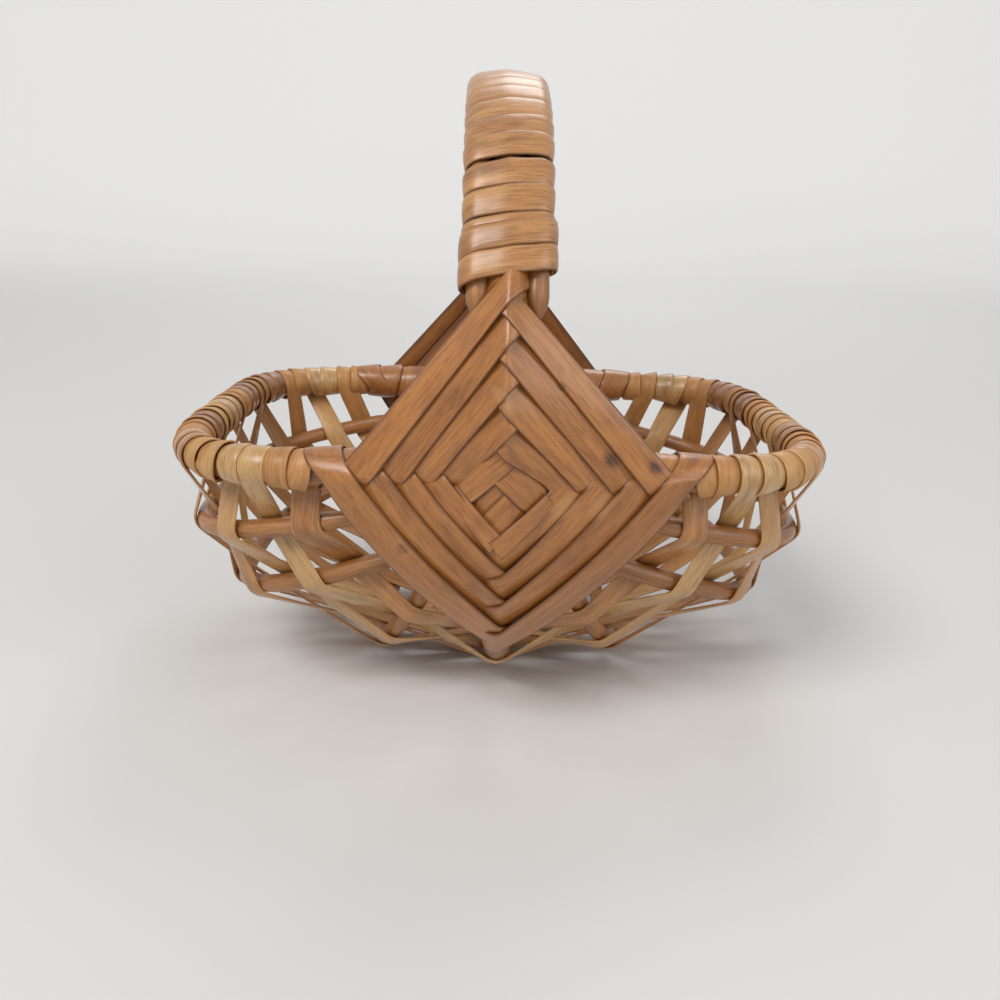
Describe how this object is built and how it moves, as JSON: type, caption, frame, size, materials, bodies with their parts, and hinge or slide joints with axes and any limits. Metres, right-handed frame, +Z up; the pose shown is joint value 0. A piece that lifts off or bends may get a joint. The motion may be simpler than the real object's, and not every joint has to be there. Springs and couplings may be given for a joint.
{
  "type": "egg basket",
  "caption": "Small woven egg basket of split willow: a squared rim hoop, a keel and handle hoop with a wrapped grip, ribs, flat weavers and diamond lashings.",
  "frame": {"origin": "on the table, under the middle of the keel", "axes": "+Z up, +X towards the right end of the basket seen from the front, -Y towards the front lashing"},
  "size_m": [0.155, 0.1362, 0.1461],
  "materials": {
    "rod": "satin varnish",
    "skein": "satin varnish",
    "lashing": "satin varnish"
  },
  "bodies": {
    "root": {"rim_hoop": "rod", "handle_hoop": "rod", "handle_side_rod_left": "rod", "handle_side_rod_right": "rod", "rib_left_1": "rod", "rib_left_2": "rod", "rib_left_3": "rod", "rib_right_1": "rod", "rib_right_2": "rod", "rib_right_3": "rod", "weaver_01": "skein", "weaver_02": "skein", "weaver_03": "skein", "weaver_04": "skein", "weaver_05": "skein", "weaver_06": "skein", "weaver_07": "skein", "weaver_08": "skein", "weaver_09": "skein", "weaver_10": "skein", "weaver_11": "skein", "weaver_12": "skein", "weaver_13": "skein", "weaver_14": "skein", "weaver_15": "skein", "handle_wrap": "skein", "foot_band_front": "skein", "foot_band_rear": "skein", "gods_eye_front": "lashing", "gods_eye_rear": "lashing"}
  },
  "joints": []
}
